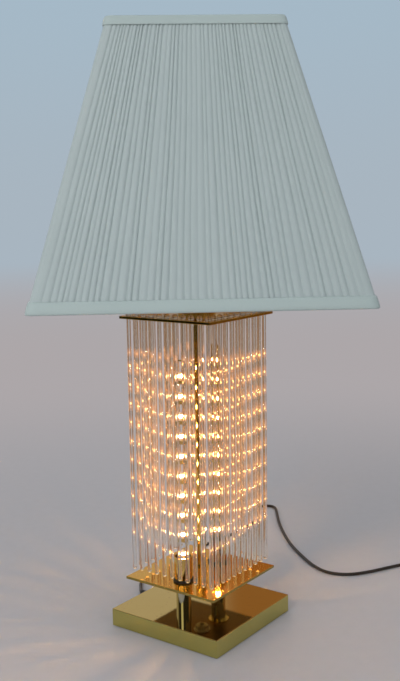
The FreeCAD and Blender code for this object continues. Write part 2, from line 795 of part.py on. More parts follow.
def least_gap(edges):
    """Least gap between stretches of one tube, on points 2 mm apart."""
    points = []
    reached = 0.0
    for edge in edges:
        count = max(2, int(edge.Length / 2))
        for k in range(count):
            share = k / count
            spot = edge.valueAt(edge.FirstParameter + share * (edge.LastParameter - edge.FirstParameter))
            points.append((reached + share * edge.Length, spot))
        reached += edge.Length
    least = 1e9
    for place, spot in points:
        for other_place, other in points:
            if other_place - place > 12 * cord_radius:
                least = min(least, (spot - other).Length)
    return least - 2 * cord_radius


def make_plug(start, way):
    """Moulded plug with two flat blades, lying level at the coil's end."""
    height = 2 * (start.z - cord_table_gap)
    body = Part.makeBox(plug_length, plug_width, height, V(0, -plug_width / 2, -height / 2))
    body = body.makeFillet(plug_edge_radius, body.Edges)
    blades = [Part.makeBox(blade_length, blade_thickness, blade_width,
                           V(plug_length, y - blade_thickness / 2, -blade_width / 2))
              for y in (-blade_spacing / 2, blade_spacing / 2)]
    turn = math.degrees(math.atan2(way.y, way.x))
    for piece in [body] + blades:
        piece.rotate(V(0, 0, 0), UP, turn)
        piece.translate(start)
    keep("plug_body", body)
    keep("plug_blades", *blades)


make_base()
make_posts()
make_plates()
make_rods()
make_centre()
for side, (x, y), lift in zip(("left", "right"), post_places, string_lifts):
    make_lamp_string(side, x, lift)
make_cap_and_neck()
make_socket()
make_switch()
make_bulb()
make_harp()
make_shade()
make_finial()
make_bushing()
make_cord()

os.makedirs("parts", exist_ok=True)
for name, shape in nodes.items():
    shape.exportStep("parts/" + name + ".step")
    print(name, len(shape.Solids), "solids", "valid" if shape.isValid() else "NOT VALID",
          round(shape.Volume / 1000, 2), "cm3")
print(len(nodes), "nodes")
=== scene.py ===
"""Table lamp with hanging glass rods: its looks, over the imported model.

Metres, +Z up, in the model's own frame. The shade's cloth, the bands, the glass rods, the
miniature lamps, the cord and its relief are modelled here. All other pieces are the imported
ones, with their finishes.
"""
import math
import random

import bpy
from mathutils import Matrix, Vector, noise


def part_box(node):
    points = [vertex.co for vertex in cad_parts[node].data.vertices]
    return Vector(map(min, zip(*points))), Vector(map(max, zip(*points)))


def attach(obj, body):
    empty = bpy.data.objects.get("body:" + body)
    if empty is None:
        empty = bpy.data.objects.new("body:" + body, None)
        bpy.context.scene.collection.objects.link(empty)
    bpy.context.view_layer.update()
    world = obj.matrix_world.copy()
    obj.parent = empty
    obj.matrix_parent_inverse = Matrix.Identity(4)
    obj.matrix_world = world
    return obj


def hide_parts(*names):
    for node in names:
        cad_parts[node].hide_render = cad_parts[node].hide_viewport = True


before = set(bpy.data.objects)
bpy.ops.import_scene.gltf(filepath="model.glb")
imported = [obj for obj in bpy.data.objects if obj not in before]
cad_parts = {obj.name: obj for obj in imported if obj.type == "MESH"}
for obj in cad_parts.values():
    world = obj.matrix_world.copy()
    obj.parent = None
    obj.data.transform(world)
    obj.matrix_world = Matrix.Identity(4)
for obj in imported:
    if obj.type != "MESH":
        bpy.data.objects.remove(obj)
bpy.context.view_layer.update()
MM = 0.001


def tint(red, green, blue):
    return (red, green, blue, 1.0)


# Camera
CAMERA_PLACE = (-0.87768, -0.64862, 0.49683)
CAMERA_HEADING = math.radians(-53.701)
CAMERA_TILT = math.radians(81.814)
CAMERA_ROLL = math.radians(-0.909)
SENSOR_HEIGHT = 36.0
FOCAL_LENGTH = 50.197

# Shade, between the lower and the upper edge of its cloth
SHADE_TURN = math.radians(38.8)
SHADE_LOW, SHADE_HIGH = (corner.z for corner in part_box("shade_front"))
BOTTOM_SIDE = 347 * MM
TOP_SIDE = 182 * MM

# Cloth. The fold gives (share of the pleat's width, share of its depth) from one crease to the
# next. Round a corner, from 1.33 half sides away from the axis on, the pleats are drawn flat.
CLOTH_BEND = 6 * MM
CLOTH_MARGIN = 0.3 * MM
CLOTH_THICKNESS = 0.25 * MM
CLOTH_ROWS = 26
PLEATS_PER_SIDE = 48
PLEAT_DEPTH = 2.2 * MM
PLEAT_FOLD = [(0.0, 1.0), (0.13, 0.55), (0.30, 0.16), (0.50, 0.0), (0.72, 0.12), (0.90, 0.6)]
PLEAT_DRIFT = 0.0011
PLEAT_RIPPLE = 0.25
CORNER_FROM = 1.33
CORNER_RUN = 0.05
CORNER_FLATTENING = 0.82

# Lining, which runs inside the corner ribs of the frame
LINING_BEND = 17 * MM
LINING_DEPTH = 2.5 * MM
LINING_MARGIN = 0.5 * MM
LINING_THICKNESS = 0.4 * MM
LINING_COLUMNS = 160
LINING_ROWS = 8

# Bands: (outwards, upwards) from the edge in millimetres, from the front's rim to the hem inside
BAND_STEPS = 240
BAND_THICKNESS = 0.35 * MM
BAND_FRONT = 1.75
BAND_HEM = -7.4
BOTTOM_BAND = [
    (0.1, 12.9), (1.1, 12.6), (1.6, 11.6), (BAND_FRONT, 9.0), (BAND_FRONT, 5.0), (1.6, 2.2),
    (0.9, 0.5), (-0.6, 0.0), (-4.0, 0.0), (-6.6, 0.3), (BAND_HEM, 1.6), (BAND_HEM, 5.0),
    (-7.0, 9.5),
]
TOP_BAND = [
    (0.1, -9.9), (1.1, -9.6), (1.5, -8.8), (BAND_FRONT, -6.6), (BAND_FRONT, -3.6), (1.6, -1.6),
    (0.9, -0.4), (-0.6, 0.0), (-4.0, 0.0), (-6.6, -0.3), (BAND_HEM, -1.4), (BAND_HEM, -4.5),
    (-7.0, -9.0),
]

# Glass rods. A run is the height between a ball's middle and the straight shaft, an opening the
# angle above its middle, in degrees, at which the ball passes into it.
ROD_LOW, ROD_HIGH = (corner.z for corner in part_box("rods_front"))
ROD_LINE = 56 * MM
ROD_PITCH = 11.2 * MM
RODS_PER_SIDE = 10
ROD_RADIUS = 2.4 * MM
BEAD_RADIUS = 3.4 * MM
BEAD_RUN = 2.7 * MM
BEAD_OPENING = -44
DROP_RADIUS = 2.6 * MM
DROP_RUN = 2.4 * MM
DROP_OPENING = 18
BALL_END = 84

# Miniature lamps: the foot gives (radius, height) in millimetres
LAMP_STRINGS = {side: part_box("lamps_" + side) for side in ("left", "right")}
LAMP_PITCH = 23.4 * MM
LAMP_HEIGHT = 10 * MM
LAMP_RADIUS = 2.6 * MM
LAMP_FOOT = [(0.5, 0), (1.9, 0.05), (2.2, 0.8), (2.0, 1.6), (2.6, 2.8)]
LAMPS_PER_STRING = 10
FILAMENT_HEIGHT = 5.2 * MM
FILAMENT_LENGTH = 3.0 * MM

# The eye that the painted glints in the rods are made for
EYE_HEIGHT = 0.497
EYE_DISTANCE = 1.05

# Cord: the route's points in millimetres, then the coil outside the view
CORD_DIAMETER = 4.2 * MM
CORD_ROUTE = [
    (0, 83.8, 10), (0, 90.8, 10), (8, 102, 7), (21, 113, 3.2), (37, 127, 2.15), (57, 139, 2.15),
    (85, 147, 2.15), (125, 150, 2.15), (173, 145, 2.15), (222, 136, 2.15), (268, 131, 2.15),
    (307, 132, 2.15), (338, 138, 2.15), (364, 151, 2.15), (390, 169.5, 2.15), (405, 162.5, 2.15),
    (406.5, 146.5, 2.15), (382, 128.5, 2.15), (344.5, 102, 2.15), (306, 70, 2.15), (269, 35, 2.15),
    (241, 1, 2.15), (217, -31, 2.15), (205, -59, 2.15), (214, -86, 2.15), (241, -106, 2.15),
    (274, -122, 2.15), (304, -140, 2.15), (329, -159, 2.15),
]
COIL_RADIUS = 30 * MM
COIL_TURNS = 7
COIL_STEP = 4.7 * MM
COIL_CLIMB = 0.5
COIL_POINTS_PER_TURN = 24
COIL_LEAD = 34.1 * MM

# Relief: its flange gives (radius, distance from the wall) in millimetres
RELIEF_FLANGE = [
    (1.0, -3.0), (3.3, -3.0), (3.4, 0.0), (5.6, 0.05), (6.0, 0.5), (5.9, 1.3), (4.6, 1.7),
]
RELIEF_START = 2.4 * MM
RELIEF_LENGTH = 22 * MM
RELIEF_RADIUS = 4.3 * MM
RELIEF_TAPER = 1.5 * MM
RELIEF_RIBS = 7
RELIEF_ROOT = 5 * MM

# Studio: what the camera sees behind the lamp, and what is placed for brass and glass to mirror
FLOOR_RADIUS = 14
BACKDROP_TOP = tint(0.375, 0.485, 0.575)
BACKDROP_MIDDLE = tint(0.392, 0.462, 0.527)
BACKDROP_LOW = tint(0.415, 0.385, 0.395)
BACKDROP_MIRRORED = tint(0.47, 0.455, 0.46)
PANEL_COLOUR = tint(0.29, 0.15, 0.065)
CARD_COLOUR = tint(0.035, 0.032, 0.028)
GLEAM_COLOUR = tint(0.85, 0.9, 0.93)
SKY_COLOUR = tint(0.84, 0.93, 1.0)
SKY_STRENGTH = 0.385
LOOK_WAY = Vector((0.806, 0.592, 0.0))
RIGHT_WAY = Vector((0.592, -0.806, 0.0))
CARD_WAY = Vector((-0.80, -0.60, 0.0))
GLEAM_WAY = Vector((-0.91, -0.16, 0.383))
LIGHT_AIM = Vector((0, 0, 0.35))


def in_metres(pairs):
    return [(first * MM, second * MM) for first, second in pairs]


def clear_selection():
    if bpy.context.object and bpy.context.object.mode != "OBJECT":
        bpy.ops.object.mode_set(mode="OBJECT")
    bpy.ops.object.select_all(action="DESELECT")


def choose(piece):
    clear_selection()
    piece.select_set(True)
    bpy.context.view_layer.objects.active = piece


def face_outwards(seam=0.0):
    """Turns the chosen piece's faces outwards. Points within a seam are sewn up first."""
    bpy.ops.object.mode_set(mode="EDIT")
    bpy.ops.mesh.select_all(action="SELECT")
    if seam:
        bpy.ops.mesh.remove_doubles(threshold=seam)
    bpy.ops.mesh.normals_make_consistent(inside=False)
    bpy.ops.object.mode_set(mode="OBJECT")


def settle(name):
    """Names the active piece and puts its place in its mesh."""
    piece = bpy.context.object
    bpy.ops.object.transform_apply(location=True, rotation=True, scale=True)
    piece.name = name
    piece.data.name = name
    return piece


class Value:
    """One output of a finish's nodes. Sums with it add Math nodes to the finish."""

    def __init__(self, finish, socket):
        self.finish = finish
        self.socket = socket

    def math(self, operation, *others):
        return self.finish.math(operation, self, *others)

    def __add__(self, other):
        return self.math("ADD", other)

    def __sub__(self, other):
        return self.math("SUBTRACT", other)

    def __rsub__(self, other):
        return self.finish.math("SUBTRACT", other, self)

    def __mul__(self, other):
        return self.math("MULTIPLY", other)

    def wave(self, length):
        """Sine wave of this length along the value."""
        return (self * (2 * math.pi / length)).math("SINE")

    def sharpened(self, low, high):
        """0 below low, 1 above high and smooth between."""
        return self.finish.add("ShaderNodeMapRange", {0: self, 1: low, 2: high},
                               interpolation_type="SMOOTHSTEP")


class Finish:
    """The nodes of a material or a world, written as expressions."""

    def __init__(self, owner):
        owner.use_nodes = True
        self.owner = owner
        self.tree = owner.node_tree
        self.tree.nodes.clear()

    def add(self, kind, inputs, output=0, **settings):
        """Adds a node with its inputs and settings, and gives one of its outputs."""
        node = self.tree.nodes.new(kind)
        for key, value in settings.items():
            setattr(node, key, value)
        for key, value in inputs.items():
            if isinstance(value, Value):
                self.tree.links.new(value.socket, node.inputs[key])
            else:
                node.inputs[key].default_value = value
        return Value(self, node.outputs[output]) if node.outputs else None

    def math(self, operation, *terms):
        return self.add("ShaderNodeMath", dict(enumerate(terms)), operation=operation)

    def vector(self, operation, *terms, output="Vector"):
        return self.add("ShaderNodeVectorMath", dict(enumerate(terms)), output, operation=operation)

    def towards(self, place, way):
        """How far a place lies in a direction."""
        return self.vector("DOT_PRODUCT", place, way, output="Value")

    def level(self, place):
        """A place without its height."""
        return self.vector("MULTIPLY", place, (1, 1, 0))

    def coordinates(self, kind):
        return self.add("ShaderNodeTexCoord", {}, kind)

    def stretched(self, place, stretch):
        """A place for a pattern, which is drawn out along an axis by a small factor for it."""
        return self.add("ShaderNodeMapping", {"Vector": place, "Scale": stretch})

    def place(self, stretch=(1, 1, 1)):
        return self.stretched(self.coordinates("Object"), stretch)

    def axis(self, place, name):
        return self.add("ShaderNodeSeparateXYZ", {0: place}, name)

    def clouds(self, place, scale, detail=3, roughness=0.5):
        return self.add("ShaderNodeTexNoise", {
            "Vector": place, "Scale": scale, "Detail": detail, "Roughness": roughness})

    def mix(self, share, first, second):
        return self.add("ShaderNodeMix", {0: share, 6: first, 7: second}, 2, data_type="RGBA")

    def relief(self, height, distance):
        return self.add("ShaderNodeBump", {"Height": height, "Distance": distance, "Strength": 1.0})

    def surface(self, inputs):
        """Gives the material one principled surface."""
        shader = self.add("ShaderNodeBsdfPrincipled", inputs)
        self.add("ShaderNodeOutputMaterial", {"Surface": shader})
        return self.owner


def new_finish(name):
    return Finish(bpy.data.materials.new(name))


def sheet_brass(name, haze, face, edge):
    """Polished sheet with rubbing marks and dull spots. Its upright walls take a painted
    reflection, darker and greener than the face, and its underside is darker and rougher.
    """
    f = new_finish(name)
    clouds = f.clouds(f.place(), 22, detail=4)
    rubbing = f.clouds(f.place((1, 1, 0.15)), 900, detail=2, roughness=0.7)
    spots = f.clouds(f.place(), 260, detail=2).sharpened(0.66, 0.74)
    facing_up = f.axis(f.coordinates("Normal"), "Z")
    underside = 1.0 - facing_up.sharpened(-0.9, -0.6)
    # Upright walls get the edge colours: a painted reflection, darker and greener than the face.
    painted_wall_reflection = 1.0 - facing_up.math("ABSOLUTE").sharpened(0.2, 0.5)
    colour = f.mix(clouds, *face)
    colour = f.mix(spots * 0.5, colour, tint(0.50, 0.33, 0.10))
    colour = f.mix(painted_wall_reflection * 0.85, colour, f.mix(clouds, *edge))
    # Faces that point down are darker and rougher.
    dark_underside_colour = f.mix(clouds, tint(0.20, 0.115, 0.035), tint(0.30, 0.18, 0.06))
    colour = f.mix(underside, colour, dark_underside_colour)
    roughness = clouds * 0.04 + rubbing.sharpened(0.5, 0.8) * haze + spots * 0.1
    roughness = roughness + underside * 0.3 + 0.01
    return f.surface({"Base Color": colour, "Metallic": 1.0, "Roughness": roughness,
                      "Normal": f.relief(rubbing, 0.012 * MM)})


def turned_brass():
    """Turned and polished brass with fine rings from the tool."""
    f = new_finish("turned_brass")
    clouds = f.clouds(f.place(), 30, detail=4)
    rings = f.clouds(f.place((0.02, 0.02, 1)), 2600, detail=2, roughness=0.6)
    colour = f.mix(clouds, tint(0.74, 0.51, 0.15), tint(0.82, 0.59, 0.20))
    roughness = clouds * 0.08 + rings * 0.06 + 0.03
    return f.surface({"Base Color": colour, "Metallic": 1.0, "Roughness": roughness,
                      "Normal": f.relief(rings, 0.015 * MM)})


def plated_brass():
    """Turned brass whose thin nickel plating has a warm cast and is worn in places."""
    f = new_finish("plated_brass")
    clouds = f.clouds(f.place(), 40, detail=4)
    rings = f.clouds(f.place((0.02, 0.02, 1)), 2400, detail=2, roughness=0.6)
    worn = f.clouds(f.place(), 120).sharpened(0.64, 0.74)
    colour = f.mix(clouds, tint(0.50, 0.49, 0.36), tint(0.62, 0.60, 0.46))
    colour = f.mix(worn * 0.6, colour, tint(0.60, 0.44, 0.16))
    roughness = clouds * 0.06 + rings * 0.05 + 0.02
    return f.surface({"Base Color": colour, "Metallic": 1.0, "Roughness": roughness,
                      "Normal": f.relief(rings, 0.012 * MM)})


def wire_brass():
    """Drawn wire and stamped strip, duller than the polished pieces."""
    f = new_finish("wire_brass")
    clouds = f.clouds(f.place(), 60, detail=4)
    marks = f.clouds(f.place(), 1400, roughness=0.7)
    colour = f.mix(clouds, tint(0.60, 0.44, 0.15), tint(0.76, 0.59, 0.24))
    roughness = clouds * 0.14 + marks * 0.1 + 0.12
    return f.surface({"Base Color": colour, "Metallic": 1.0, "Roughness": roughness,
                      "Normal": f.relief(marks, 0.02 * MM)})


def zinc_steel():
    """Zinc plated steel with a faint yellow bloom."""
    f = new_finish("zinc_steel")
    bloom = f.clouds(f.place(), 90, detail=4)
    grain = f.clouds(f.place((1, 1, 0.1)), 1800, detail=2, roughness=0.6)
    colour = f.mix(bloom, tint(0.52, 0.51, 0.47), tint(0.66, 0.63, 0.53))
    roughness = bloom * 0.15 + grain * 0.12 + 0.2
    return f.surface({"Base Color": colour, "Metallic": 1.0, "Roughness": roughness,
                      "Normal": f.relief(grain, 0.03 * MM)})


def cast_iron():
    """Sand-cast weight, rough and dark."""
    f = new_finish("cast_iron")
    sand = f.clouds(f.place(), 420, detail=5, roughness=0.65)
    rust = f.clouds(f.place(), 40, detail=4).sharpened(0.55, 0.75)
    colour = f.mix(sand, tint(0.045, 0.045, 0.05), tint(0.12, 0.12, 0.125))
    colour = f.mix(rust * 0.5, colour, tint(0.16, 0.075, 0.04))
    return f.surface({"Base Color": colour, "Metallic": 0.6, "Roughness": sand * 0.2 + 0.6,
                      "Normal": f.relief(sand, 0.4 * MM)})


def green_felt():
    """Pressed wool under the base."""
    f = new_finish("green_felt")
    fibres = f.clouds(f.place((1, 0.35, 1)), 1500, detail=4, roughness=0.7)
    pressed = f.clouds(f.place(), 50)
    colour = f.mix(fibres, tint(0.015, 0.06, 0.03), tint(0.06, 0.19, 0.10))
    colour = f.mix(pressed * 0.4, colour, tint(0.03, 0.10, 0.06))
    return f.surface({"Base Color": colour, "Roughness": 0.95, "Sheen Weight": 0.4,
                      "Normal": f.relief(fibres, 0.4 * MM)})


def off_filament(height):
    """How far a height above a string's lowest seat is from the filament of the lamp there."""
    return (height.math("WRAP", LAMP_PITCH, 0.0) - FILAMENT_HEIGHT).math("ABSOLUTE")


def painted_glints(f, place, side):
    """Painted glints where one string's lamps would show in a rod, and a painted haze round them.
    """
    low, high = LAMP_STRINGS[side]
    middle = ((low.x + high.x) / 2, 0, 0)
    off = f.vector("DISTANCE", f.level(place), middle, output="Value")
    above_eye = f.axis(place, "Z") - EYE_HEIGHT
    seen = above_eye * (off * (1 / EYE_DISTANCE) + 1.0) + (EYE_HEIGHT - low.z)
    tall = high.z - low.z
    on_string = seen.sharpened(-MM, 0.0) * (1.0 - seen.sharpened(tall, tall + MM))
    off_lamp = off_filament(seen)
    near = 1.0 - off_lamp.sharpened(0.4 * MM, 1.7 * MM)
    around = 1.0 - off_lamp.sharpened(0.0, 10 * MM)
    return near * on_string, around * on_string


def drawn_glass():
    """Clear drawn rod with long slow waves and hair-fine lines along it.

    Down the middle of each rod, on its outer side, glints of the lamps are painted in as emission,
    at the heights where an eye sees them that is a metre away and as high as the bulb, with a
    painted haze round them. The foot gets a painted glow as well.
    """
    f = new_finish("drawn_glass")
    place = f.place()
    right_half = f.axis(place, "X").math("GREATER_THAN", 0.0)
    left, left_painted_haze = painted_glints(f, place, "left")
    right, right_painted_haze = painted_glints(f, place, "right")
    nearer = left + (right - left) * right_half
    farther = right + (left - right) * right_half
    facing = f.add("ShaderNodeLayerWeight", {"Blend": 0.5}, "Facing")
    middle = 1.0 - facing.sharpened(0.045, 0.115)
    outwards = f.towards(f.coordinates("Normal"), f.vector("NORMALIZE", f.level(place)))
    outside = 1.0 - f.add("ShaderNodeNewGeometry", {}, "Backfacing")
    shown = outwards.sharpened(-0.35, -0.12) * outside * 0.96 + 0.04
    # Painted glow at each rod's foot, where its drop would show the lamps.
    foot = 1.0 - f.axis(place, "Z").sharpened(ROD_LOW + 0.5 * MM, ROD_LOW + 1.5 * MM)
    unlike = f.clouds(place, 90, detail=1).sharpened(0.25, 0.75) * 0.6 + 0.4
    # Painted glints and painted haze, as emission in the glass.
    painted_glint = ((nearer + farther * 0.2) * middle * shown + foot * 0.42) * unlike
    painted_lamp_light = f.mix(left_painted_haze + right_painted_haze, tint(0, 0, 0), tint(0.030, 0.009, 0.001))
    painted_lamp_light = f.mix(painted_glint, painted_lamp_light, tint(1.0, 0.62, 0.20))
    waves = f.clouds(f.place((1, 1, 0.12)), 160, detail=2)
    lines = f.clouds(f.place((1, 1, 0.01)), 1700, detail=1)
    colour = f.mix(waves, tint(0.955, 0.975, 0.965), tint(0.995, 1.0, 0.998))
    return f.surface({"Base Color": colour, "Roughness": waves * 0.02 + 0.01, "IOR": 1.52,
                      "Transmission Weight": 0.94, "Emission Color": painted_lamp_light, "Emission Strength": 3.2,
                      "Normal": f.relief(lines, 0.02 * MM)})


def lit_glass():
    """Glass of a miniature lamp, glowing around its filament."""
    f = new_finish("lit_glass")
    place = f.place()
    left_seat, right_seat = (LAMP_STRINGS[side][0].z for side in ("left", "right"))
    right_half = f.axis(place, "X").math("GREATER_THAN", 0.0)
    height = f.axis(place, "Z") - right_half * (right_seat - left_seat) - left_seat
    halo = 1.0 - off_filament(height).sharpened(1.0 * MM, 4.6 * MM)
    seeds = f.clouds(place, 900, detail=2)
    colour = f.mix(seeds, tint(0.86, 0.80, 0.68), tint(0.95, 0.90, 0.8))
    glow = f.mix(halo, tint(0.12, 0.05, 0.01), tint(1.0, 0.42, 0.10))
    return f.surface({"Base Color": colour, "Roughness": seeds * 0.1 + 0.03, "Coat Weight": 0.6,
                      "Emission Color": glow, "Emission Strength": 1.3})


def filament_glow():
    """The band of a miniature lamp's glass that its filament makes too bright to look at."""
    f = new_finish("filament_glow")
    flicker = f.clouds(f.place(), 700, detail=1)
    glow = f.mix(flicker, tint(1.0, 0.50, 0.15), tint(1.0, 0.57, 0.20))
    return f.surface({"Base Color": tint(0.9, 0.8, 0.6), "Roughness": 0.3,
                      "Emission Color": glow, "Emission Strength": 430.0})


def frosted_glass():
    """Bulb glass with a white powder coating inside and a clear outside."""
    f = new_finish("frosted_glass")
    powder = f.clouds(f.place(), 300, detail=4, roughness=0.6)
    haze = f.clouds(f.place(), 25)
    colour = f.mix(haze, tint(0.80, 0.80, 0.77), tint(0.90, 0.90, 0.87))
    return f.surface({"Base Color": colour, "Roughness": powder * 0.12 + 0.2, "Coat Weight": 1.0,
                      "Coat Roughness": 0.03, "Transmission Weight": 0.35, "IOR": 1.45,
                      "Normal": f.relief(powder, 0.04 * MM)})


def screw_metal():
    """Rolled thread of the bulb's base, with a dark ring at its foot."""
    f = new_finish("screw_metal")
    place = f.place()
    height = f.axis(place, "Z")
    thread = height.wave(3.6 * MM) * 0.5 + 0.5
    marks = f.clouds(place, 700)
    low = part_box("bulb_base")[0].z
    foot = 1.0 - height.sharpened(low + 2 * MM, low + 3 * MM)
    colour = f.mix(marks, tint(0.58, 0.58, 0.59), tint(0.76, 0.76, 0.77))
    colour = f.mix(foot, colour, tint(0.03, 0.03, 0.035))
    return f.surface({"Base Color": colour, "Metallic": 1.0 - foot,
                      "Roughness": marks * 0.15 + 0.16, "Normal": f.relief(thread, 0.9 * MM)})


def moulded_resin():
    """Black moulded insulator with pale mineral flecks and a dull skin."""
    f = new_finish("moulded_resin")
    skin = f.clouds(f.place(), 480, detail=4, roughness=0.6)
    flecks = f.clouds(f.place(), 1500, detail=2).sharpened(0.68, 0.76)
    colour = f.mix(flecks * 0.5, tint(0.018, 0.017, 0.016), tint(0.12, 0.105, 0.09))
    return f.surface({"Base Color": colour, "Roughness": skin * 0.2 + 0.32,
                      "Normal": f.relief(skin, 0.06 * MM)})


def knob_plastic():
    """Glossy knob, fluted round its rim."""
    f = new_finish("knob_plastic")
    place = f.place()
    flutes = f.axis(place, "X").wave(1.1 * MM) * 0.5 + 0.5
    dust = f.clouds(place, 900)
    colour = f.mix(dust, tint(0.012, 0.012, 0.013), tint(0.03, 0.03, 0.032))
    return f.surface({"Base Color": colour, "Roughness": dust * 0.12 + 0.12, "Coat Weight": 0.4,
                      "Normal": f.relief(flutes, 0.25 * MM)})


def wire_paint():
    """White dipped paint on the shade's frame."""
    f = new_finish("wire_paint")
    runs = f.clouds(f.place((1, 1, 0.3)), 240)
    chips = f.clouds(f.place(), 130, detail=4).sharpened(0.68, 0.74)
    colour = f.mix(runs, tint(0.70, 0.71, 0.68), tint(0.80, 0.81, 0.78))
    colour = f.mix(chips * 0.6, colour, tint(0.36, 0.32, 0.25))
    return f.surface({"Base Color": colour, "Roughness": runs * 0.15 + 0.32,
                      "Normal": f.relief(runs, 0.1 * MM)})


def woven(name, light, dark, thread, sheen, crumple):
    """Plain weave in the piece's own UV, with slubs and slow shading."""
    f = new_finish(name)
    spot = f.coordinates("UV")
    weave = f.axis(spot, "X").wave(thread) * f.axis(spot, "Y").wave(thread) * 0.5 + 0.5
    slubs = f.clouds(f.stretched(spot, (1, 0.12, 1)), 420, roughness=0.6)
    slow = f.clouds(f.place(), 14)
    colour = f.mix(slubs * 0.5 + slow * 0.5, dark, light)
    height = weave * 0.3 + slubs * 0.4 + f.clouds(f.place(), 160) * crumple
    return f.surface({"Base Color": colour, "Roughness": slubs * 0.1 + 0.78, "Sheen Weight": sheen,
                      "Sheen Roughness": 0.5, "Normal": f.relief(height, 0.12 * MM)})


def cord_vinyl():
    """Dark brown cord covering with a soft shine and rubbed places."""
    f = new_finish("cord_vinyl")
    rubbed = f.clouds(f.place(), 70, detail=4)
    skin = f.clouds(f.place(), 1300, detail=2)
    colour = f.mix(rubbed, tint(0.020, 0.014, 0.010), tint(0.055, 0.038, 0.027))
    return f.surface({"Base Color": colour, "Roughness": rubbed * 0.2 + 0.3,
                      "Normal": f.relief(skin, 0.04 * MM)})


def dress(finish, slot, *names):
    """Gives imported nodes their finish."""
    for name in names:
        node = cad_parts[name]
        for place in node.material_slots:
            place.material = finish


def wear(piece, finish, slot, body, *nodes):
    """Gives a new piece its finish and body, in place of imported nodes."""
    piece.data.materials.clear()
    piece.data.materials.append(finish)
    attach(piece, body)
    if nodes:
        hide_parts(*nodes)
    return piece


def make_camera():
    """Looks at the lamp from the front left, at the height of the bulb."""
    camera = bpy.data.objects.new("camera", bpy.data.cameras.new("camera"))
    bpy.context.collection.objects.link(camera)
    aim = Matrix.Rotation(CAMERA_HEADING, 4, "Z") @ Matrix.Rotation(CAMERA_TILT, 4, "X")
    aim = aim @ Matrix.Rotation(CAMERA_ROLL, 4, "Z")
    camera.matrix_world = Matrix.Translation(CAMERA_PLACE) @ aim
    camera.data.sensor_fit = "VERTICAL"
    camera.data.sensor_height = SENSOR_HEIGHT
    camera.data.lens = FOCAL_LENGTH
    bpy.context.scene.camera = camera


def coil_places():
    """Turns that spiral in, climb once and spiral out on top, then the straight end to the plug."""
    last, end = (Vector(point) for point in CORD_ROUTE[-2:])
    way = (end - last).normalized()
    side = Vector((way.y, -way.x, 0))
    start = end * MM + way * CORD_DIAMETER
    centre = start + side * COIL_RADIUS
    first = math.atan2(-side.y, -side.x)
    places = [start]
    for k in range(1, COIL_TURNS * COIL_POINTS_PER_TURN):
        turns = k / COIL_POINTS_PER_TURN
        angle = first - 2 * math.pi * turns
        radius = COIL_RADIUS - COIL_STEP * min(turns, COIL_TURNS - turns)
        climb = min(1.0, max(0.0, (turns - COIL_TURNS / 2 + COIL_CLIMB / 2) / COIL_CLIMB))
        lift = COIL_STEP * (1 - math.cos(math.pi * climb)) / 2
        places.append(centre + Vector((radius * math.cos(angle), radius * math.sin(angle), lift)))
    top = Vector((start.x, start.y, start.z + COIL_STEP))
    return places + [top, top + way * COIL_LEAD / 2, top + way * COIL_LEAD]


def make_cord(vinyl):
    """Cord from the back of the base to its plug. Gives the places of its line too."""
    data = bpy.data.curves.new("cord_line", "CURVE")
    data.dimensions = "3D"
    spline = data.splines.new("NURBS")
    places = [Vector(point) * MM for point in CORD_ROUTE] + coil_places()
    spline.points.add(len(places) - 1)
    for point, place in zip(spline.points, places):
        point.co = (*place, 1.0)
    spline.order_u = 3
    spline.use_endpoint_u = True
    spline.resolution_u = 6
    bare = bpy.data.objects.new("bare_line", data)
    line = [v.co.copy() for v in bpy.data.meshes.new_from_object(bare).vertices]
    bpy.data.objects.remove(bare)
    data.bevel_depth = CORD_DIAMETER / 2
    data.bevel_resolution = 3
    data.use_fill_caps = True
    cord = bpy.data.objects.new("cord_line", data)
    bpy.context.collection.objects.link(cord)
    return wear(cord, vinyl, "cord_rubber", "stand", "cord", "cord_coil"), line


def drawn_up(name, profile, sides):
    """Turned piece: a ring is drawn up through (radius, height) pairs and closed at both ends."""
    clear_selection()
    radius, height = profile[0]
    bpy.ops.mesh.primitive_circle_add(vertices=sides, radius=radius, location=(0, 0, height),
                                      fill_type="NGON")
    bpy.ops.object.mode_set(mode="EDIT")
    bpy.ops.mesh.select_all(action="SELECT")
    for next_radius, next_height in profile[1:]:
        bpy.ops.mesh.extrude_region_move(
            TRANSFORM_OT_translate={"value": (0, 0, next_height - height)})
        factor = next_radius / radius
        bpy.ops.transform.resize(value=(factor, factor, 1), center_override=(0, 0, next_height))
        radius, height = next_radius, next_height
    face_outwards()
    bpy.ops.object.shade_smooth_by_angle(angle=math.radians(50))
    return settle(name)


def repeated(model, name, places):
    """One piece out of copies of a model, each moved to its place. The model is used up."""
    clear_selection()
    for place in places:
        twin = model.copy()
        twin.data = model.data.copy()
        twin.data.transform(Matrix.Translation(place))
        bpy.context.collection.objects.link(twin)
        twin.select_set(True)
        bpy.context.view_layer.objects.active = twin
    bpy.ops.object.join()
    joined = settle(name)
    bpy.data.objects.remove(model)
    return joined


def ball_profile(radius, centre, low, high, steps):
    """(radius, height) pairs along a ball between two angles above its middle, in degrees."""
    angles = [math.radians(low + (high - low) * k / steps) for k in range(steps + 1)]
    return [(radius * math.cos(a), centre + radius * math.sin(a)) for a in angles]


